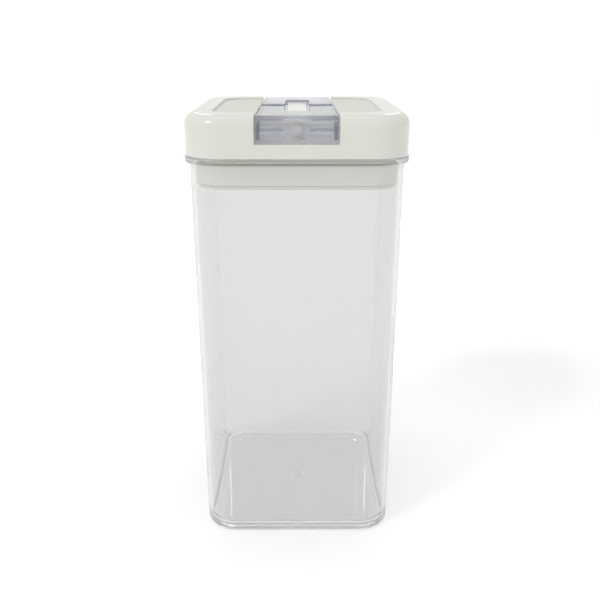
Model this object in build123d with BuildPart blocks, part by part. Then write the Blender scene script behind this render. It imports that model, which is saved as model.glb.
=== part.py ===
"""Square storage canister with a flip-lock lid. Millimetres, +Z up, front is -Y.

The origin is the centre of the face that the canister stands on. Two clear wings lie in a
channel across the lid. Each turns on a steel pin in a white bridge, and its cam bears on the
channel's floor. Wings down, the cams hold the bridge up, and the plate under the bridge's
posts squeezes the gasket against the canister's wall. Wings up, the bridge and plate drop
and the gasket lets go.
"""

from build123d import *
from math import cos, hypot, pi, radians, sin
import os

# ---- Canister ---------------------------------------------------------------
total_height = 223.0          # standing face to the lid's top
body_side = 101.4             # outside, level with the mouth
body_taper = 1.1              # how far each wall leans in by the base
body_corner = 17.0            # plan radius of the outside corners at the mouth
wall = 2.2
floor_thickness = 3.0
base_edge_radius = 3.0        # rounding where the walls meet the base
floor_fillet = 5.0            # rounding inside, where the walls meet the floor
foot_inset = 9.6              # base's side to the recess that leaves a standing ring
foot_recess = 0.8
gate_radius = 4.1             # the moulding gate's shallow dish in the floor
gate_depth = 0.5
rim_projection = 2.4          # rim's side beyond the body's side
rim_height = 3.2
rim_edge_radius = 0.9

# ---- Lid cover --------------------------------------------------------------
lid_reveal = 0.6              # lid's side to the rim's side
lid_height = 19.4             # lid's top to its lower edge
lid_wall = 2.2
lid_edge_radius = 5.6         # rounding round the lid's top
panel_inset = 12.5            # lid's side to the sunk panel on its top
panel_corner = 11.0
panel_depth = 1.2
panel_lip_radius = 0.5        # rounding where the panel drops from the lid's top
panel_floor_radius = 0.6      # rounding where its side meets its floor
channel_width = 38.4
channel_floor = 2.0
channel_to_base = 0.7         # channel floor's underside to the lid's base
sill_height = 1.5             # lip at each end of the channel
sill_thickness = 2.6
channel_edge_radius = 0.4     # rounding where the channel breaks the lid's outside
cover_boss_radius = 3.6
cover_boss_inset = 7.0        # boss's axis to the guide wall

# ---- Clearances -------------------------------------------------------------
rest_gap = 0.3                # between faces of different bodies
soft_gap = 0.35               # round the gasket and the seals
fit_gap = 0.2                 # between fixed pieces of the lid
wing_side_gap = 0.8           # wing's side to the channel's wall
wing_bore_clearance = 0.05
bridge_bore_clearance = 0.02
screw_clearance = 0.1
post_clearance = 0.3

# ---- Lid base, gasket and plate ---------------------------------------------
base_flange = 2.0
base_floor = 2.0
collar_gap = 3.0              # collar to the canister's wall
collar_wall = 2.6
collar_height = 3.4
guide_inset = 2.5             # collar's side to the wall that backs the gasket
guide_wall = 2.0
guide_overrun = 1.5           # guide wall's lower edge to the plate, wings down
gasket_height = 9.9
gasket_back_gap = 0.4
gasket_edge_radius = 1.0
plate_thickness = 1.6
plate_gap = 1.5               # plate's edge to the canister's wall
plate_edge_radius = 0.6
seal_travel = 2.5             # how far the plate drops
boss_radius = 4.6             # boss on the plate under each post

# ---- Bridge -----------------------------------------------------------------
bridge_length = 54.4
bridge_width = 10.4
bridge_flange = 4.5
bridge_web = 4.3
bridge_web_inset = 1.6        # web's end to the flange's end
bridge_drop = 1.5             # lid's top to the bridge's top
bridge_edge_radius = 0.8
post_radius = 3.5
post_spacing = 36.0

# ---- Wings and pins ---------------------------------------------------------
wing_drop = 0.5               # lid's top to the wings' top
wing_thickness = 2.6
wing_skirt = 3.0
wing_cheek = 1.8              # side ribs
wing_cheek_depth = 8.2        # below the wing's plate
wing_flush = 0.2              # lid's face to the wing's face
wing_edge_radius = 0.7
wing_slot_gap = 1.1           # bridge's side to the slot
wing_slot_end_gap = 1.4
wing_slot_corner = 1.5
wing_swing = 85.0             # degrees
pin_radius = 1.25
pin_inset = 0.9               # pin's end to the wing's side
cam_closed = 6.0              # axis to the cam's face, wings down
cam_toe = 2.8                 # length of the cam's flat foot
cam_points = 9                # on the cam's involute face

# ---- Seals, springs and screws ----------------------------------------------
seal_section = 1.0            # radius of a post seal's section
seal_cup_wall = 2.0
seal_cup_over = 0.3           # cup's edge above the seal
spring_wire = 0.45            # radius of the wire
spring_turns = 4
spring_gap = 0.5              # boss to the spring
spring_end_gap = 0.1
screw_radius = 1.4
screw_head_radius = 2.8
screw_head = 1.6
screw_head_sink = 0.2         # plate's face to the screw's head
screw_drive = 2.8             # length of the cross in a head
screw_drive_width = 0.7
screw_drive_depth = 0.9
screw_spare = 0.6             # hole beyond the screw's end
post_screw_length = 17.0
cover_screw_length = 12.0

# ---- Sides, corners and heights that follow ---------------------------------
rim_side = body_side + 2 * rim_projection
lid_side = rim_side - 2 * lid_reveal
mouth_side = body_side - 2 * wall
collar_side = mouth_side - 2 * collar_gap
guide_side = collar_side - 2 * guide_inset
plate_side = mouth_side - 2 * plate_gap

lid_bottom = total_height - lid_height
rim_top = lid_bottom - rest_gap
rim_bottom = rim_top - rim_height
flange_bottom = lid_bottom + fit_gap
flange_top = flange_bottom + base_flange
collar_bottom = flange_bottom - collar_height
base_floor_top = collar_bottom + base_floor
gasket_top = collar_bottom - fit_gap
gasket_bottom = gasket_top - gasket_height
plate_top = gasket_bottom - fit_gap
plate_bottom = plate_top - plate_thickness
boss_top = collar_bottom - rest_gap

channel_underside = flange_top + channel_to_base
channel_floor_z = channel_underside + channel_floor
sill_z = channel_floor_z + sill_height
bridge_top = total_height - bridge_drop
bridge_underside = bridge_top - bridge_flange
web_bottom = channel_floor_z + seal_travel + rest_gap
post_y = post_spacing / 2

wing_top = total_height - wing_drop
wing_underside = wing_top - wing_thickness
wing_face_y = lid_side / 2 - wing_flush
wing_half_width = channel_width / 2 - wing_side_gap
slot_half_width = bridge_width / 2 + wing_slot_gap
slot_end_y = bridge_length / 2 + wing_slot_end_gap
axis_z = channel_floor_z + rest_gap + cam_closed
cam_rate = seal_travel / radians(wing_swing)
cam_back = cam_closed - cam_rate * pi / 2
pin_y = hypot(cam_back, wing_top - axis_z) + rest_gap
pin_length = 2 * (wing_half_width - pin_inset)

boss_y = guide_side / 2 - guide_wall - cover_boss_inset
boss_spots = [(x, y) for x in (-boss_y, boss_y) for y in (-boss_y, boss_y)]
post_spots = [(0, -post_y), (0, post_y)]
screw_bore = screw_radius + screw_clearance


def corner_at(side):
    """Plan corner radius of a ring that runs level with the canister's wall."""
    return body_corner + (side - body_side) / 2


def rounded_square(side, mode=Mode.ADD):
    """A square with its corners kept even with the canister's wall."""
    return RectangleRounded(side, side, corner_at(side), mode=mode)


# ---- Canister body ----------------------------------------------------------
base_side = body_side - 2 * body_taper
cavity_base_side = base_side - 2 * wall

with BuildPart() as cavity:
    with BuildSketch(Plane.XY.offset(floor_thickness)):
        rounded_square(cavity_base_side)
    with BuildSketch(Plane.XY.offset(rim_top)):
        rounded_square(mouth_side)
    loft()
    fillet(cavity.faces().sort_by(Axis.Z)[0].edges(), floor_fillet)

with BuildPart() as rim_flange:
    with BuildSketch(Plane.XY.offset(rim_bottom)):
        rounded_square(rim_side)
    extrude(amount=rim_height)
    fillet(rim_flange.faces().sort_by(Axis.Z)[-1].edges(), rim_edge_radius)
    fillet(rim_flange.faces().sort_by(Axis.Z)[0].edges(), rim_edge_radius)

gate_sphere = (gate_radius**2 + gate_depth**2) / (2 * gate_depth)

with BuildPart() as canister_body:
    with BuildSketch(Plane.XY):
        rounded_square(base_side)
    with BuildSketch(Plane.XY.offset(rim_top)):
        rounded_square(body_side)
    loft()
    fillet(canister_body.faces().sort_by(Axis.Z)[0].edges(), base_edge_radius)
    add(rim_flange.part)
    add(cavity.part, mode=Mode.SUBTRACT)
    with BuildSketch(Plane.XY):
        rounded_square(base_side - 2 * foot_inset)
    extrude(amount=foot_recess, mode=Mode.SUBTRACT)
    with Locations((0, 0, floor_thickness - gate_depth + gate_sphere)):
        Sphere(gate_sphere, mode=Mode.SUBTRACT)

# ---- Lid cover --------------------------------------------------------------
with BuildPart() as cover_hollow:
    with BuildSketch(Plane.XY.offset(lid_bottom)):
        rounded_square(lid_side - 2 * lid_wall)
    extrude(amount=lid_height - lid_wall)
    fillet(cover_hollow.faces().sort_by(Axis.Z)[-1].edges(), lid_edge_radius - lid_wall)

with BuildPart() as lid_cover:
    with BuildSketch(Plane.XY.offset(lid_bottom)):
        rounded_square(lid_side)
    extrude(amount=lid_height)
    fillet(lid_cover.faces().sort_by(Axis.Z)[-1].edges(), lid_edge_radius)
    add(cover_hollow.part, mode=Mode.SUBTRACT)
    # The sunk panel, with the wall carried down below it.
    panel_side = lid_side - 2 * panel_inset
    with BuildSketch(Plane.XY.offset(total_height - lid_wall - panel_depth)):
        backing_side = panel_side + 2 * lid_wall
        RectangleRounded(backing_side, backing_side, panel_corner + lid_wall)
    extrude(amount=panel_depth)
    with BuildSketch(Plane.XY.offset(total_height)):
        RectangleRounded(panel_side, panel_side, panel_corner)
    extrude(amount=-panel_depth, mode=Mode.SUBTRACT)
    floor_z = total_height - panel_depth
    panel_floor = lid_cover.faces().filter_by(Axis.Z).filter_by_position(Axis.Z, floor_z, floor_z)
    fillet(panel_floor.edges(), panel_floor_radius)
    fillet(lid_cover.faces().sort_by(Axis.Z)[-1].inner_wires()[0].edges(), panel_lip_radius)
    # The channel's walls and floor, and the four screw bosses.
    with BuildSketch(Plane.XY.offset(channel_underside)):
        Rectangle(channel_width + 2 * lid_wall, lid_side - 2 * lid_wall)
    extrude(amount=total_height - lid_wall - channel_underside)
    with BuildSketch(Plane.XY.offset(base_floor_top + fit_gap)):
        with Locations(*boss_spots):
            Circle(cover_boss_radius)
    extrude(until=Until.NEXT)
    # The channel itself: full length above the sills, stopped by them below.
    with BuildSketch(Plane.XY.offset(sill_z)):
        Rectangle(channel_width, lid_side)
    extrude(amount=total_height - sill_z, mode=Mode.SUBTRACT)
    with BuildSketch(Plane.XY.offset(channel_floor_z)):
        Rectangle(channel_width, lid_side - 2 * sill_thickness)
    extrude(amount=sill_height, mode=Mode.SUBTRACT)
    # Where the channel breaks the lid's outside, its edges and the sills' edges are eased.
    channel_walls = lid_cover.faces().filter_by(Axis.X).filter_by_position(
        Axis.X, -channel_width / 2, channel_width / 2
    )
    upper_edges = [edge for edge in channel_walls.edges() if edge.center().Z > sill_z + rest_gap]
    fillet(upper_edges, channel_edge_radius)
    sills = lid_cover.faces().filter_by(Axis.Z).filter_by_position(Axis.Z, sill_z, sill_z)
    fillet(sills.edges().filter_by(Axis.X), channel_edge_radius)
    with BuildSketch(Plane.XY.offset(channel_floor_z)):
        with Locations(*post_spots):
            Circle(post_radius + post_clearance)
    extrude(amount=-channel_floor, mode=Mode.SUBTRACT)
    cover_screw_end = collar_bottom + cover_screw_length
    with BuildSketch(Plane.XY.offset(base_floor_top)):
        with Locations(*boss_spots):
            Circle(screw_bore)
    extrude(amount=cover_screw_end + screw_spare - base_floor_top, mode=Mode.SUBTRACT)

# ---- Lid base: flange, collar, floor, gasket guide and seal cups -------------
cup_inside = post_radius + soft_gap + 2 * seal_section + fit_gap
cup_height = 2 * seal_section + seal_cup_over

with BuildPart() as lid_base:
    with BuildSketch(Plane.XY.offset(flange_bottom)):
        rounded_square(lid_side - 2 * lid_wall - 2 * fit_gap)
    extrude(amount=base_flange)
    with BuildSketch(Plane.XY.offset(collar_bottom)):
        rounded_square(collar_side)
    extrude(amount=collar_height)
    with BuildSketch(Plane.XY.offset(base_floor_top)):
        rounded_square(collar_side - 2 * collar_wall)
    extrude(amount=flange_top - base_floor_top, mode=Mode.SUBTRACT)
    with BuildSketch(Plane.XY.offset(plate_top + guide_overrun)):
        rounded_square(guide_side)
        rounded_square(guide_side - 2 * guide_wall, mode=Mode.SUBTRACT)
    extrude(amount=collar_bottom - plate_top - guide_overrun)
    with BuildSketch(Plane.XY.offset(base_floor_top)):
        with Locations(*post_spots):
            Circle(cup_inside + seal_cup_wall)
            Circle(cup_inside, mode=Mode.SUBTRACT)
    extrude(amount=cup_height)
    with BuildSketch(Plane.XY.offset(collar_bottom)):
        with Locations(*post_spots):
            Circle(post_radius + post_clearance)
        with Locations(*boss_spots):
            Circle(screw_bore)
    extrude(amount=base_floor, mode=Mode.SUBTRACT)

# ---- Gasket -----------------------------------------------------------------
with BuildPart() as gasket:
    with BuildSketch(Plane.XY.offset(gasket_bottom)):
        rounded_square(mouth_side - 2 * soft_gap)
        rounded_square(guide_side + 2 * gasket_back_gap, mode=Mode.SUBTRACT)
    extrude(amount=gasket_height)
    gasket_rims = gasket.faces().filter_by(Axis.Z)
    fillet([face.outer_wire().edges() for face in gasket_rims], gasket_edge_radius)

# ---- Pressure plate ---------------------------------------------------------
head_seat = plate_bottom + screw_head_sink + screw_head

with BuildPart() as pressure_plate:
    with BuildSketch(Plane.XY.offset(plate_bottom)):
        rounded_square(plate_side)
    extrude(amount=plate_thickness)
    fillet(pressure_plate.faces().sort_by(Axis.Z)[0].edges(), plate_edge_radius)
    with BuildSketch(Plane.XY.offset(plate_top)):
        with Locations(*post_spots):
            Circle(boss_radius)
    extrude(amount=boss_top - plate_top)
    with BuildSketch(Plane.XY.offset(plate_bottom)):
        with Locations(*post_spots):
            Circle(screw_head_radius + screw_clearance)
    extrude(amount=head_seat - plate_bottom, mode=Mode.SUBTRACT)
    with BuildSketch(Plane.XY.offset(head_seat)):
        with Locations(*post_spots):
            Circle(screw_bore)
    extrude(amount=boss_top - head_seat, mode=Mode.SUBTRACT)

# ---- Bridge -----------------------------------------------------------------
with BuildPart() as pull_bridge:
    with BuildSketch(Plane.XY.offset(bridge_underside)):
        RectangleRounded(bridge_width, bridge_length, bridge_edge_radius)
    extrude(amount=bridge_flange)
    fillet(pull_bridge.faces().sort_by(Axis.Z)[-1].edges(), bridge_edge_radius)
    with BuildSketch(Plane.XY.offset(web_bottom)):
        Rectangle(bridge_web, bridge_length - 2 * bridge_web_inset)
    extrude(amount=bridge_underside - web_bottom)
    with BuildSketch(Plane.XY.offset(boss_top)):
        with Locations(*post_spots):
            Circle(post_radius)
    extrude(amount=bridge_underside - boss_top)
    with BuildSketch(Plane.XY.offset(boss_top)):
        with Locations(*post_spots):
            Circle(screw_bore)
    post_bore_top = head_seat + post_screw_length + screw_spare
    extrude(amount=post_bore_top - boss_top, mode=Mode.SUBTRACT)
    with BuildSketch(Plane.YZ):
        with Locations((-pin_y, axis_z), (pin_y, axis_z)):
            Circle(pin_radius + bridge_bore_clearance)
    extrude(amount=bridge_width, both=True, mode=Mode.SUBTRACT)


# ---- Wings ------------------------------------------------------------------
def cam_point(turn):
    """Point of the front wing's cam that bears on the floor once the wing has turned so far.

    The reach falls evenly with the turn, which makes the face an involute.
    """
    reach = cam_closed - cam_rate * turn
    y = reach * sin(turn) - cam_rate * cos(turn)
    z = -reach * cos(turn) - cam_rate * sin(turn)
    return (-pin_y + y, axis_z + z)


cam_face = [cam_point(pi / 2 * i / (cam_points - 1)) for i in range(cam_points)]
cam_heel = (cam_face[0][0] - cam_toe, cam_face[0][1])
inner_end_y = cam_face[-1][0]
skirt_back_y = -wing_face_y + wing_skirt
skirt_bottom = sill_z + rest_gap
cheek_bottom = wing_underside - wing_cheek_depth
barrel_back_y = cam_heel[0] - cam_toe / 2

with BuildPart() as wing_front:
    # Plate, skirt and cam as one section across the channel.
    with BuildSketch(Plane.YZ):
        with BuildLine():
            Spline(*cam_face)
            Polyline(
                cam_face[-1],
                (inner_end_y, wing_top),
                (-wing_face_y, wing_top),
                (-wing_face_y, skirt_bottom),
                (skirt_back_y, skirt_bottom),
                (skirt_back_y, wing_underside),
                (barrel_back_y, wing_underside),
                cam_heel,
                cam_face[0],
            )
        make_face()
    extrude(amount=wing_half_width, both=True)
    front_edge = wing_front.edges().filter_by(Axis.X).filter_by_position(
        Axis.Z, wing_top, wing_top
    ).sort_by(Axis.Y)[0]
    fillet(front_edge, lid_edge_radius - wing_flush)
    shown_edges = [
        edge
        for side in wing_front.faces().filter_by(Axis.X)
        for edge in side.edges()
        if edge.center().Z > wing_underside or edge.center().Y < skirt_back_y - wing_skirt / 2
    ]
    fillet([edge for edge in shown_edges if edge.center().Y < inner_end_y], wing_edge_radius)
    with BuildSketch(Plane.XY.offset(cheek_bottom)):
        with Locations((0, (skirt_back_y + barrel_back_y) / 2)):
            cheek_length = barrel_back_y - skirt_back_y
            Rectangle(2 * wing_half_width, cheek_length)
            Rectangle(2 * (wing_half_width - wing_cheek), cheek_length, mode=Mode.SUBTRACT)
    extrude(amount=wing_cheek_depth)
    with BuildSketch(Plane.XY.offset(channel_floor_z)):
        slot_length = slot_end_y + wing_slot_corner
        with Locations((0, slot_length / 2 - slot_end_y)):
            RectangleRounded(2 * slot_half_width, slot_length, wing_slot_corner)
    extrude(amount=total_height - channel_floor_z, mode=Mode.SUBTRACT)
    with BuildSketch(Plane.YZ):
        with Locations((-pin_y, axis_z)):
            Circle(pin_radius + wing_bore_clearance)
    extrude(amount=wing_half_width, both=True, mode=Mode.SUBTRACT)

with BuildPart() as wing_rear:
    add(mirror(wing_front.part, about=Plane.XZ, mode=Mode.PRIVATE))


# ---- Pins, springs, seals and screws ----------------------------------------
def hinge_pin(y):
    """A steel pin along X with chamfered ends."""
    with BuildPart() as pin:
        with BuildSketch(Plane.YZ.offset(-pin_length / 2)):
            with Locations((y, axis_z)):
                Circle(pin_radius)
        extrude(amount=pin_length)
        chamfer(pin.edges().filter_by(GeomType.CIRCLE), pin_radius / 4)
    return pin


def return_spring(y):
    """An open coil round a boss of the plate, which pushes the plate down."""
    coil_radius = boss_radius + spring_gap + spring_wire
    coil_bottom = plate_top + spring_end_gap + spring_wire
    coil_height = collar_bottom - spring_end_gap - spring_wire - coil_bottom
    with BuildPart() as coil:
        with BuildLine(Plane.XY):
            turns = Helix(
                pitch=coil_height / spring_turns,
                height=coil_height,
                radius=coil_radius,
                center=(0, y, coil_bottom),
            )
        with BuildSketch(Plane(origin=turns @ 0, z_dir=turns % 0)):
            Circle(spring_wire)
        sweep(path=turns)
    return coil


def post_seal(y):
    """An O-ring that rests in its cup round a post."""
    ring_radius = post_radius + soft_gap + seal_section
    with BuildPart() as ring:
        with Locations((0, y, base_floor_top + seal_section)):
            Torus(ring_radius, seal_section)
    return ring


def screw(x, y, seat, length):
    """A cross-head screw driven upwards, its head hanging below the seat."""
    with BuildPart() as body:
        with BuildSketch(Plane.XY.offset(seat - screw_head)):
            with Locations((x, y)):
                Circle(screw_head_radius)
        extrude(amount=screw_head)
        chamfer(body.faces().sort_by(Axis.Z)[0].edges(), screw_head / 4)
        with BuildSketch(Plane.XY.offset(seat)):
            with Locations((x, y)):
                Circle(screw_radius)
        extrude(amount=length)
        chamfer(body.faces().sort_by(Axis.Z)[-1].edges(), screw_radius / 3)
        with BuildSketch(Plane.XY.offset(seat - screw_head)):
            with Locations((x, y)):
                Rectangle(screw_drive, screw_drive_width)
                Rectangle(screw_drive_width, screw_drive)
        extrude(amount=screw_drive_depth, mode=Mode.SUBTRACT)
    return body


nodes = {
    "canister_body": canister_body,
    "lid_cover": lid_cover,
    "lid_base": lid_base,
    "gasket": gasket,
    "pressure_plate": pressure_plate,
    "pull_bridge": pull_bridge,
    "wing_front": wing_front,
    "wing_rear": wing_rear,
}
for end, y in (("front", -1), ("rear", 1)):
    nodes["hinge_pin_" + end] = hinge_pin(y * pin_y)
    nodes["return_spring_" + end] = return_spring(y * post_y)
    nodes["post_seal_" + end] = post_seal(y * post_y)
    nodes["post_screw_" + end] = screw(0, y * post_y, head_seat, post_screw_length)
for number, (x, y) in enumerate(boss_spots, start=1):
    nodes[f"cover_screw_{number}"] = screw(x, y, collar_bottom, cover_screw_length)

# ---- Write every piece ------------------------------------------------------
os.makedirs("parts", exist_ok=True)
for label, piece in nodes.items():
    piece.part.label = label
    export_step(piece.part, f"parts/{label}.step")
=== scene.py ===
"""Finish, soft pieces, light and camera for a square storage canister with a flip-lock lid.

Metres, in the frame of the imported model: +Z up, the front is -Y.
"""

import bmesh
import bpy
from math import cos, pi, radians, sin
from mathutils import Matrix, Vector


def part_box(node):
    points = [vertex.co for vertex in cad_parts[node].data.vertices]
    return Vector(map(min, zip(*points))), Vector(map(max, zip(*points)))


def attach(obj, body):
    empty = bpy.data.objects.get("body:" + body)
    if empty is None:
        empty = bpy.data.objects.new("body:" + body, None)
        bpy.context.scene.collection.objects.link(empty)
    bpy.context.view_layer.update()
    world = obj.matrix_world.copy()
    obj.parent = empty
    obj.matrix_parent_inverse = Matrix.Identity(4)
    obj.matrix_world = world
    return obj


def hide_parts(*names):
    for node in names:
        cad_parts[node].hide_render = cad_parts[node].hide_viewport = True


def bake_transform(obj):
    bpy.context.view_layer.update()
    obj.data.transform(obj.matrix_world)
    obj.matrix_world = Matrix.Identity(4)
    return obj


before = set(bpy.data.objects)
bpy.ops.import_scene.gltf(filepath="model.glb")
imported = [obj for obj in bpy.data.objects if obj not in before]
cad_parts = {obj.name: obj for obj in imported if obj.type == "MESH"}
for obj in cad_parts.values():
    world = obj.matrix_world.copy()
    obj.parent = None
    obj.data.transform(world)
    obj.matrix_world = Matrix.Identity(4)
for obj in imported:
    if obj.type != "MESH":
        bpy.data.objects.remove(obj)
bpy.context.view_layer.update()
MM = 0.001
ENDS = ("front", "rear")


# ---- Helpers ----------------------------------------------------------------
def linear(hex_colour):
    """An sRGB hex colour as linear RGBA."""
    channels = [int(hex_colour[i:i + 2], 16) / 255 for i in (0, 2, 4)]
    return [c / 12.92 if c <= 0.04045 else ((c + 0.055) / 1.055) ** 2.4 for c in channels] + [1.0]


def add_node(tree, kind, settings=(), inputs=(), links=()):
    """A node with its settings, its input values and what feeds its inputs."""
    made = tree.nodes.new(kind)
    for name, value in dict(settings).items():
        setattr(made, name, value)
    for name, value in dict(inputs).items():
        made.inputs[name].default_value = value
    for name, source in dict(links).items():
        tree.links.new(source, made.inputs[name])
    return made


def new_material(name):
    """An empty material, its node tree and its output."""
    material = bpy.data.materials.new(name)
    material.use_nodes = True
    material.node_tree.nodes.clear()
    output = add_node(material.node_tree, "ShaderNodeOutputMaterial")
    return material, material.node_tree, output


def dress(node_name, material):
    """Gives a CAD node one material."""
    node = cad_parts[node_name]
    if not node.material_slots:
        node.data.materials.append(None)
    for slot in node.material_slots:
        slot.material = material


def closed_tube(name, rows):
    """A mesh over rows of points, closed round each row and from the last row to the first."""
    mesh = bmesh.new()
    loops = [[mesh.verts.new(point) for point in row] for row in rows]
    count = len(rows[0])
    for this, after in zip(loops, loops[1:] + loops[:1]):
        for j in range(count):
            k = (j + 1) % count
            mesh.faces.new((this[j], after[j], after[k], this[k]))
    bmesh.ops.recalc_face_normals(mesh, faces=mesh.faces)
    data = bpy.data.meshes.new(name)
    mesh.to_mesh(data)
    mesh.free()
    return data


def new_piece(name, mesh, material):
    """An object at the origin that carries a mesh, smooth shaded, in one material."""
    piece = bpy.data.objects.new(name, mesh)
    bpy.context.scene.collection.objects.link(piece)
    mesh.materials.clear()
    mesh.materials.append(material)
    mesh.shade_smooth()
    return piece


# ---- Materials --------------------------------------------------------------
SAN_IOR = 1.57
ABS_IOR = 1.53
SILICONE_IOR = 1.41


def moulded_san(name, tint, absorbed, density, roughness, flow_size, flow_depth, gate, dimming):
    """Styrene-acrylonitrile, injection moulded in a polished tool: clear, hard and glossy.

    A wall looks almost colourless, and an edge or a corner, seen along the plastic, goes
    blue-grey. The melt's flow leaves a very shallow waviness that bends the reflections, and the
    gate that it came in through leaves a torn, rough spot round the upright axis. Fine scuffs
    scatter a little light. Light on its way to what lies inside passes straight through, a
    little weaker at each face.
    """
    torn_roughness = 0.35
    torn_core = 0.7 * gate
    unscuffed = 0.92
    diffuse_passed = 0.94
    material, tree, output = new_material(name)
    place = add_node(tree, "ShaderNodeTexCoord")
    flow = add_node(
        tree, "ShaderNodeTexNoise",
        inputs={"Scale": 1 / flow_size, "Detail": 2.0, "Roughness": 0.4},
        links={"Vector": place.outputs["Object"]},
    )
    ripple = add_node(
        tree, "ShaderNodeBump",
        inputs={"Strength": 1.0, "Distance": flow_depth},
        links={"Height": flow.outputs["Fac"]},
    )
    level = add_node(
        tree, "ShaderNodeVectorMath",
        settings={"operation": "MULTIPLY"},
        inputs={1: (1.0, 1.0, 0.0)},
        links={0: place.outputs["Object"]},
    )
    from_axis = add_node(
        tree, "ShaderNodeVectorMath",
        settings={"operation": "LENGTH"},
        links={0: level.outputs["Vector"]},
    )
    torn = add_node(
        tree, "ShaderNodeMapRange",
        settings={"interpolation_type": "SMOOTHSTEP"},
        inputs={
            "From Min": torn_core, "From Max": gate,
            "To Min": torn_roughness, "To Max": roughness,
        },
        links={"Value": from_axis.outputs["Value"]},
    )
    shader = add_node(
        tree, "ShaderNodeBsdfPrincipled",
        inputs={
            "Base Color": linear(tint),
            "Transmission Weight": unscuffed,
            "IOR": SAN_IOR,
        },
        links={"Roughness": torn.outputs["Result"], "Normal": ripple.outputs["Normal"]},
    )
    path = add_node(tree, "ShaderNodeLightPath")
    lighting = add_node(
        tree, "ShaderNodeMath",
        settings={"operation": "MAXIMUM"},
        links={0: path.outputs["Is Shadow Ray"], 1: path.outputs["Is Diffuse Ray"]},
    )
    share = add_node(
        tree, "ShaderNodeMapRange",
        inputs={"To Min": diffuse_passed, "To Max": dimming},
        links={"Value": path.outputs["Is Shadow Ray"]},
    )
    straight = add_node(
        tree, "ShaderNodeBsdfTransparent", links={"Color": share.outputs["Result"]}
    )
    either = add_node(
        tree, "ShaderNodeMixShader",
        links={0: lighting.outputs[0], 1: shader.outputs["BSDF"], 2: straight.outputs["BSDF"]},
    )
    tree.links.new(either.outputs[0], output.inputs["Surface"])
    depth = add_node(
        tree, "ShaderNodeVolumeAbsorption",
        inputs={"Color": linear(absorbed), "Density": density},
    )
    tree.links.new(depth.outputs["Volume"], output.inputs["Volume"])
    return material


def moulded_white(name, colour, ior, roughness, grain, depth):
    """An opaque white moulding with a fine surface grain and a faint drift of shade.

    The grain is the texture of the tool's steel. The drift, over a few centimetres, is the
    pigment's uneven mixing, and keeps a wide face from looking painted in one flat tone.
    """
    drift_size = 25 * MM
    drift_shade = 0.98
    material, tree, output = new_material(name)
    place = add_node(tree, "ShaderNodeTexCoord")
    speck = add_node(
        tree, "ShaderNodeTexNoise",
        inputs={"Scale": 1 / grain, "Detail": 3.0},
        links={"Vector": place.outputs["Object"]},
    )
    skin = add_node(
        tree, "ShaderNodeBump",
        inputs={"Strength": 1.0, "Distance": depth},
        links={"Height": speck.outputs["Fac"]},
    )
    drift = add_node(
        tree, "ShaderNodeTexNoise",
        inputs={"Scale": 1 / drift_size, "Detail": 1.0},
        links={"Vector": place.outputs["Object"]},
    )
    shade = add_node(
        tree, "ShaderNodeMapRange",
        inputs={"From Min": 0.3, "From Max": 0.7, "To Min": drift_shade, "To Max": 1.0},
        links={"Value": drift.outputs["Fac"]},
    )
    pigment = add_node(
        tree, "ShaderNodeVectorMath",
        settings={"operation": "SCALE"},
        inputs={"Vector": linear(colour)[:3]},
        links={"Scale": shade.outputs["Result"]},
    )
    shader = add_node(
        tree, "ShaderNodeBsdfPrincipled",
        inputs={"IOR": ior, "Roughness": roughness},
        links={"Base Color": pigment.outputs["Vector"], "Normal": skin.outputs["Normal"]},
    )
    tree.links.new(shader.outputs["BSDF"], output.inputs["Surface"])
    return material


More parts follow.
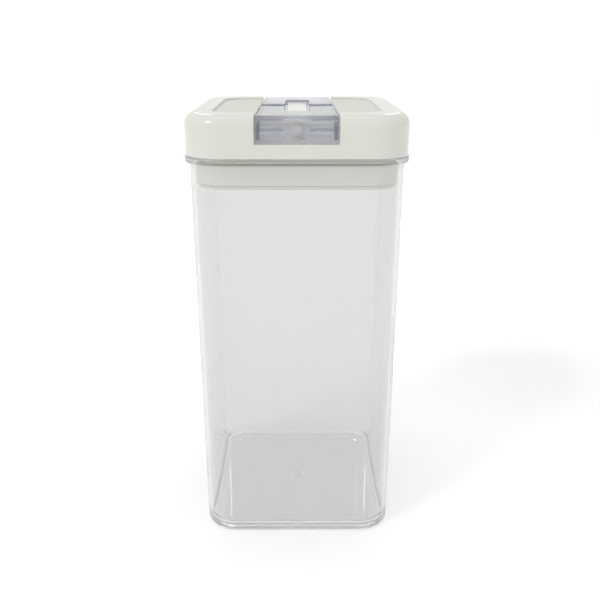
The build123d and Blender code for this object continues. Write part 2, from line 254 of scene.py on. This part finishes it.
def lid_abs(name, colour, panel_half, panel_top, panel_floor):
    """White ABS, glossy from a polished tool, with two panels sunk in its top.

    The panels' floors are spark-eroded in the tool, so they are matt and finely grained: they
    take no mirror image. Their colour is also painted a shade darker, as painted shade for the
    sunk floors. The erosion's pits are about a tenth of a millimetre wide, and are drawn coarser
    so that they show. The gloss waves a little, as a thick moulding's face does where it shrinks.
    """
    gloss_roughness = 0.13
    panel_roughness = 0.62
    # Painted shade: the sunk panels' colour is scaled down by this much.
    panel_painted_shade = 0.92
    pit_size = 0.5 * MM
    pit_depth = 0.06 * MM
    wave_size = 18 * MM
    wave_depth = 0.15 * MM
    material, tree, output = new_material(name)
    place = add_node(tree, "ShaderNodeTexCoord")
    spread = add_node(tree, "ShaderNodeSeparateXYZ", links={"Vector": place.outputs["Object"]})
    inside = []
    for axis, middle, reach in (
        ("X", 0.0, panel_half), ("Y", 0.0, panel_half),
        ("Z", (panel_top + panel_floor) / 2, (panel_top - panel_floor) / 2),
    ):
        inside.append(add_node(
            tree, "ShaderNodeMath",
            settings={"operation": "COMPARE"},
            inputs={1: middle, 2: reach},
            links={0: spread.outputs[axis]},
        ))
    across = add_node(
        tree, "ShaderNodeMath",
        settings={"operation": "MULTIPLY"},
        links={0: inside[0].outputs[0], 1: inside[1].outputs[0]},
    )
    panel = add_node(
        tree, "ShaderNodeMath",
        settings={"operation": "MULTIPLY"},
        links={0: across.outputs[0], 1: inside[2].outputs[0]},
    )
    gloss = add_node(
        tree, "ShaderNodeMapRange",
        inputs={"To Min": gloss_roughness, "To Max": panel_roughness},
        links={"Value": panel.outputs[0]},
    )
    pits = add_node(
        tree, "ShaderNodeTexNoise",
        inputs={"Scale": 1 / pit_size, "Detail": 3.0},
        links={"Vector": place.outputs["Object"]},
    )
    relief = add_node(
        tree, "ShaderNodeMath",
        settings={"operation": "MULTIPLY"},
        links={0: pits.outputs["Fac"], 1: panel.outputs[0]},
    )
    eroded = add_node(
        tree, "ShaderNodeBump",
        inputs={"Strength": 1.0, "Distance": pit_depth},
        links={"Height": relief.outputs[0]},
    )
    wave = add_node(
        tree, "ShaderNodeTexNoise",
        inputs={"Scale": 1 / wave_size, "Detail": 1.0},
        links={"Vector": place.outputs["Object"]},
    )
    skin = add_node(
        tree, "ShaderNodeBump",
        inputs={"Strength": 1.0, "Distance": wave_depth},
        links={"Height": wave.outputs["Fac"], "Normal": eroded.outputs["Normal"]},
    )
    # Painted shade: the sunk panels' colour is darkened here.
    shade = add_node(
        tree, "ShaderNodeMapRange",
        inputs={"To Min": 1.0, "To Max": panel_painted_shade},
        links={"Value": panel.outputs[0]},
    )
    pigment = add_node(
        tree, "ShaderNodeVectorMath",
        settings={"operation": "SCALE"},
        inputs={"Vector": linear(colour)[:3]},
        links={"Scale": shade.outputs["Result"]},
    )
    shader = add_node(
        tree, "ShaderNodeBsdfPrincipled",
        inputs={"IOR": ABS_IOR},
        links={
            "Base Color": pigment.outputs["Vector"],
            "Roughness": gloss.outputs["Result"],
            "Normal": skin.outputs["Normal"],
        },
    )
    tree.links.new(shader.outputs["BSDF"], output.inputs["Surface"])
    return material


def drawn_steel(name, roughness):
    """Stainless steel wire: bright, with the fine lengthwise marks of the drawing die.

    The marks run along X, as the hinge pins lie. Real ones are some hundredths of a millimetre
    apart, and are drawn coarser so that they show.
    """
    mark_length = 6 * MM
    mark_width = 0.15 * MM
    variation = 0.08
    material, tree, output = new_material(name)
    place = add_node(tree, "ShaderNodeTexCoord")
    along = add_node(
        tree, "ShaderNodeMapping",
        inputs={"Scale": (1 / mark_length, 1 / mark_width, 1 / mark_width)},
        links={"Vector": place.outputs["Object"]},
    )
    marks = add_node(
        tree, "ShaderNodeTexNoise",
        inputs={"Scale": 1.0, "Detail": 2.0},
        links={"Vector": along.outputs["Vector"]},
    )
    satin = add_node(
        tree, "ShaderNodeMapRange",
        inputs={"To Min": roughness - variation, "To Max": roughness + variation},
        links={"Value": marks.outputs["Fac"]},
    )
    shader = add_node(
        tree, "ShaderNodeBsdfPrincipled",
        inputs={"Base Color": linear("C9CACC"), "Metallic": 1.0},
        links={"Roughness": satin.outputs["Result"]},
    )
    tree.links.new(shader.outputs["BSDF"], output.inputs["Surface"])
    return material


# The sunk panels: how far they stay inside the lid's sides and how deep they go. What lies within
# PANEL_HALF of the axis, from just under the lid's top to just under their floors, is eroded, and
# its colour is darkened as painted shade.
lid_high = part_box("lid_cover")[1]
PANEL_INSET = 12.2 * MM
PANEL_DEPTH = 1.2 * MM
PANEL_HALF = lid_high.x - PANEL_INSET
PANEL_TOP = lid_high.z - 0.3 * MM
PANEL_FLOOR = lid_high.z - PANEL_DEPTH - 0.1 * MM

# The body: a long, slow flow, and the gate in the dish in the middle of its floor.
body_clear = moulded_san(
    "clear_san_body", tint="ECEBEA", absorbed="A6B2DA", density=5.0, roughness=0.03,
    flow_size=60 * MM, flow_depth=0.003 * MM, gate=4.1 * MM, dimming=0.84,
)
# A wing is thick for its size, and its ribs leave a short, deeper waviness. Its tint and absorption
# are set far stronger than the body's: partly the plastic's blue-grey tint, partly painted shade
# for the shaded hollow under the wing. Its own gate is out of sight, so the torn spot gets a
# reach that no part of a wing comes within.
wing_clear = moulded_san(
    # The tint and density are partly painted shade: they darken the wing for the shaded hollow
    # under it.
    "clear_san_wing", tint="E9EAEF", absorbed="9098B8", density=26.0, roughness=0.14,
    flow_size=4 * MM, flow_depth=0.06 * MM, gate=1 * MM, dimming=0.97,
)
lid_white = lid_abs("white_abs_lid", "CFD1C8", PANEL_HALF, PANEL_TOP, PANEL_FLOOR)
# The tool's marks are under a tenth of a millimetre wide on the ABS and the silicone alike, and
# are drawn coarser so that they show: faint on the glossy bridge, plainer on the satin pieces.
bridge_white = moulded_white(
    "white_abs_gloss", "DADCD3", ABS_IOR, roughness=0.16, grain=0.6 * MM, depth=0.02 * MM
)
plate_white = moulded_white(
    "white_abs_satin", "E0E1D6", ABS_IOR, roughness=0.42, grain=0.6 * MM, depth=0.04 * MM
)
# Silicone takes the skin of its mould and stays matt, with a soft edge to every highlight.
silicone = moulded_white(
    "white_silicone", "E0E0D8", SILICONE_IOR, roughness=0.5, grain=0.4 * MM, depth=0.05 * MM
)
steel = drawn_steel("stainless_steel_wire", roughness=0.28)

dress("canister_body", body_clear)
dress("lid_cover", lid_white)
dress("lid_base", plate_white)
dress("pull_bridge", bridge_white)
dress("pressure_plate", plate_white)
for end in ENDS:
    dress("wing_" + end, wing_clear)
    dress("hinge_pin_" + end, steel)
    dress("post_screw_" + end, steel)
for number in range(1, 5):
    dress(f"cover_screw_{number}", steel)


# ---- Gasket -----------------------------------------------------------------
def swept_ring(profile, side_half, corner, steps):
    """A closed ring: a profile of (outwards, height) points carried round a rounded square."""
    rows = []
    for quarter in range(4):
        hub_x = side_half - corner if quarter in (0, 3) else corner - side_half
        hub_y = side_half - corner if quarter in (0, 1) else corner - side_half
        for i in range(steps + 1):
            turn = pi / 2 * (quarter + i / steps)
            rows.append([
                (hub_x + cos(turn) * (corner + out), hub_y + sin(turn) * (corner + out), height)
                for out, height in profile
            ])
    return closed_tube("ring", rows)


def make_gasket():
    """A soft band with a thin lip at each edge, which the plate squeezes outwards."""
    low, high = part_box("gasket")
    guide_inset = 6.7 * MM  # from the base's edge to the wall that the band slides on
    corner = 14.45 * MM
    waist = 0.35 * MM
    lip = 1.3 * MM
    flat_inset = 0.9 * MM  # from the band's outer face to its flat upper and lower faces
    nose_inset = 0.25 * MM
    nose_rise = 0.2 * MM
    nose_height = 0.6 * MM
    face_steps = 12
    corner_steps = 16

    thick = high.x - (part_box("lid_base")[1].x - guide_inset)
    tall = high.z - low.z
    lower = [(-thick, low.z), (-flat_inset, low.z), (-nose_inset, low.z + nose_rise)]
    upper = [(out, low.z + high.z - height) for out, height in reversed(lower)]
    face = []
    for i in range(face_steps + 1):
        share = i / face_steps
        dip = waist * min(1, share * tall / lip, (1 - share) * tall / lip)
        face.append((-dip, low.z + nose_height + share * (tall - 2 * nose_height)))
    band = swept_ring(lower + face + upper, high.x, corner, corner_steps)
    piece = new_piece("gasket_band", band, silicone)
    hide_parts("gasket")
    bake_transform(piece)


make_gasket()


# ---- Springs and post seals --------------------------------------------------
def coil_tree():
    """Geometry Nodes: an open coil of round wire."""
    tree = bpy.data.node_groups.new("coil", "GeometryNodeTree")
    for name, kind in (
        ("Turns", "NodeSocketFloat"), ("Radius", "NodeSocketFloat"),
        ("Height", "NodeSocketFloat"), ("Wire", "NodeSocketFloat"),
        ("Material", "NodeSocketMaterial"),
    ):
        tree.interface.new_socket(name, in_out="INPUT", socket_type=kind)
    tree.interface.new_socket("Geometry", in_out="OUTPUT", socket_type="NodeSocketGeometry")
    given = add_node(tree, "NodeGroupInput")
    spiral = add_node(
        tree, "GeometryNodeCurveSpiral",
        inputs={"Resolution": 28},
        links={
            "Rotations": given.outputs["Turns"], "Height": given.outputs["Height"],
            "Start Radius": given.outputs["Radius"], "End Radius": given.outputs["Radius"],
        },
    )
    section = add_node(
        tree, "GeometryNodeCurvePrimitiveCircle",
        inputs={"Resolution": 12},
        links={"Radius": given.outputs["Wire"]},
    )
    wire = add_node(
        tree, "GeometryNodeCurveToMesh",
        inputs={"Fill Caps": True},
        links={"Curve": spiral.outputs["Curve"], "Profile Curve": section.outputs["Curve"]},
    )
    whole = add_node(tree, "GeometryNodeRealizeInstances", links={"Geometry": wire.outputs["Mesh"]})
    coated = add_node(
        tree, "GeometryNodeSetMaterial",
        links={"Geometry": whole.outputs["Geometry"], "Material": given.outputs["Material"]},
    )
    add_node(tree, "NodeGroupOutput", links={"Geometry": coated.outputs["Geometry"]})
    return tree


def make_spring(end, tree):
    """A return spring round a boss of the plate: it pushes the plate down as the wings rise."""
    name = "return_spring_" + end
    low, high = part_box(name)
    wire = 0.45 * MM
    sizes = {
        "Turns": 4.0,
        "Radius": (high.x - low.x) / 2 - wire,
        "Height": high.z - low.z - 2 * wire,
        "Wire": wire,
        "Material": steel,
    }
    maker = bpy.data.objects.new("coil_maker", bpy.data.meshes.new("empty"))
    bpy.context.scene.collection.objects.link(maker)
    modifier = maker.modifiers.new("coil", "NODES")
    modifier.node_group = tree
    for item in tree.interface.items_tree:
        if item.in_out == "INPUT":
            modifier[item.identifier] = sizes[item.name]
    seen = maker.evaluated_get(bpy.context.evaluated_depsgraph_get())
    mesh = bpy.data.meshes.new_from_object(seen)
    bpy.data.objects.remove(maker)
    for vertex in mesh.vertices:
        vertex.co += Vector((0, (low.y + high.y) / 2, low.z + wire))
    piece = new_piece("spring_" + end, mesh, steel)
    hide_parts(name)
    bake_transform(piece)


def make_post_seal(end):
    """An O-ring in its cup, pressed a little flat where it sits."""
    name = "post_seal_" + end
    low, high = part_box(name)
    section = (high.z - low.z) / 2
    ring = (high.x - low.x) / 2 - section
    middle_y = (low.y + high.y) / 2
    pressed = 0.9
    ring_steps = 40
    section_steps = 14
    rows = []
    for i in range(ring_steps):
        turn = 2 * pi * i / ring_steps
        row = []
        for j in range(section_steps):
            around = 2 * pi * j / section_steps
            reach = ring + section * cos(around)
            height = low.z + section + max(section * sin(around), -pressed * section)
            row.append((reach * cos(turn), middle_y + reach * sin(turn), height))
        rows.append(row)
    piece = new_piece("o_ring_" + end, closed_tube(name, rows), silicone)
    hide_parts(name)
    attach(piece, "lid")


coil = coil_tree()
for end in ENDS:
    make_spring(end, coil)
    make_post_seal(end)

# ---- Stage, light and camera ------------------------------------------------
PAPER = (0.95, 0.95, 0.95, 1.0)  # linear: it throws back 95 % of the light
WHITE = (1.0, 1.0, 1.0, 1.0)
ROOM_LIGHT = 0.90
BACKDROP_LIGHT = 1.1
FLOOR_SIZE = 8.0
FLOOR_DROP = 0.2 * MM  # paper to standing ring, so that no two faces coincide
LAMP_TARGET = (0, 0, 0.2)  # close under the body's rim
CLEAR_BOUNCES = 32  # a look through the lid and the body crosses many faces

scene = bpy.context.scene
scene.view_settings.view_transform = "Standard"
scene.cycles.max_bounces = CLEAR_BOUNCES
scene.cycles.transmission_bounces = CLEAR_BOUNCES
scene.cycles.diffuse_bounces = 6
scene.cycles.glossy_bounces = CLEAR_BOUNCES


def stage_floor():
    """White paper, wide enough that its far edge is out of sight."""
    material, tree, output = new_material("floor_paper")
    shader = add_node(tree, "ShaderNodeBsdfDiffuse", inputs={"Color": PAPER})
    tree.links.new(shader.outputs["BSDF"], output.inputs["Surface"])
    bpy.ops.mesh.primitive_plane_add(size=FLOOR_SIZE, location=(0, 0, -FLOOR_DROP))
    floor = bpy.context.object
    floor.name = "floor"
    floor.data.materials.append(material)


def studio_world():
    """Even white light from all round, and pure white where the camera looks straight at it."""
    world = bpy.data.worlds.new("studio_white")
    world.use_nodes = True
    tree = world.node_tree
    tree.nodes.clear()
    path = add_node(tree, "ShaderNodeLightPath")
    room = add_node(
        tree, "ShaderNodeBackground", inputs={"Color": WHITE, "Strength": ROOM_LIGHT}
    )
    backdrop = add_node(
        tree, "ShaderNodeBackground", inputs={"Color": WHITE, "Strength": BACKDROP_LIGHT}
    )
    either = add_node(
        tree, "ShaderNodeMixShader",
        links={0: path.outputs["Is Camera Ray"], 1: room.outputs[0], 2: backdrop.outputs[0]},
    )
    add_node(tree, "ShaderNodeOutputWorld", links={"Surface": either.outputs[0]})
    scene.world = world


def aim(lamp, place, target):
    """Puts a lamp at a place and turns it to face a point."""
    lamp.location = place
    lamp.rotation_euler = (Vector(target) - Vector(place)).to_track_quat("-Z", "Y").to_euler()
    scene.collection.objects.link(lamp)


stage_floor()
studio_world()

# A broad key from the front left casts the soft shadow to the right.
key = bpy.data.lights.new("key", "SUN")
key.energy = 0.80
key.angle = radians(14)
aim(bpy.data.objects.new("key", key), (-0.80, -0.60, 0.87), (0, 0, 0))

# Small lamps draw the highlights: two for the spots on the lid's rounding, a tube for the line
# along its top edge, and a strip behind each side for the clear plastic's edges. Each row is
# name, place, width, height and watts.
for name, place, width, height, energy in (
    ("softbox_left", (-0.35, -0.80, 0.95), 0.04, 0.04, 0.2),
    ("softbox_right", (0.36, -0.80, 0.98), 0.04, 0.04, 0.2),
    ("tube_above", (0.0, 0.10, 1.50), 1.2, 0.015, 0.8),
    ("strip_behind_left", (-0.35, 1.20, 0.85), 0.05, 0.5, 0.6),
    ("strip_behind_right", (0.35, 1.20, 0.85), 0.05, 0.5, 0.6),
):
    lamp = bpy.data.lights.new(name, "AREA")
    lamp.shape = "RECTANGLE"
    lamp.size = width
    lamp.size_y = height
    lamp.energy = energy
    aim(bpy.data.objects.new(name, lamp), place, LAMP_TARGET)

# The camera stands in front, a little higher than the lid, and looks down at it. The shift moves
# the frame down, so that the whole canister is in it.
LOOK_DOWN = 18.13  # degrees below the horizontal
LOOK_ASIDE = -0.13  # degrees, a hair to the right
camera_data = bpy.data.cameras.new("camera")
camera_data.sensor_width = 36.0
camera_data.lens = 41.47
camera_data.shift_y = -0.0633
camera_data.clip_start = 0.01
camera = bpy.data.objects.new("camera", camera_data)
camera.location = (0.65 * MM, -360.8 * MM, 256.2 * MM)
camera.rotation_euler = (radians(90 - LOOK_DOWN), 0, radians(LOOK_ASIDE))
scene.collection.objects.link(camera)
scene.camera = camera
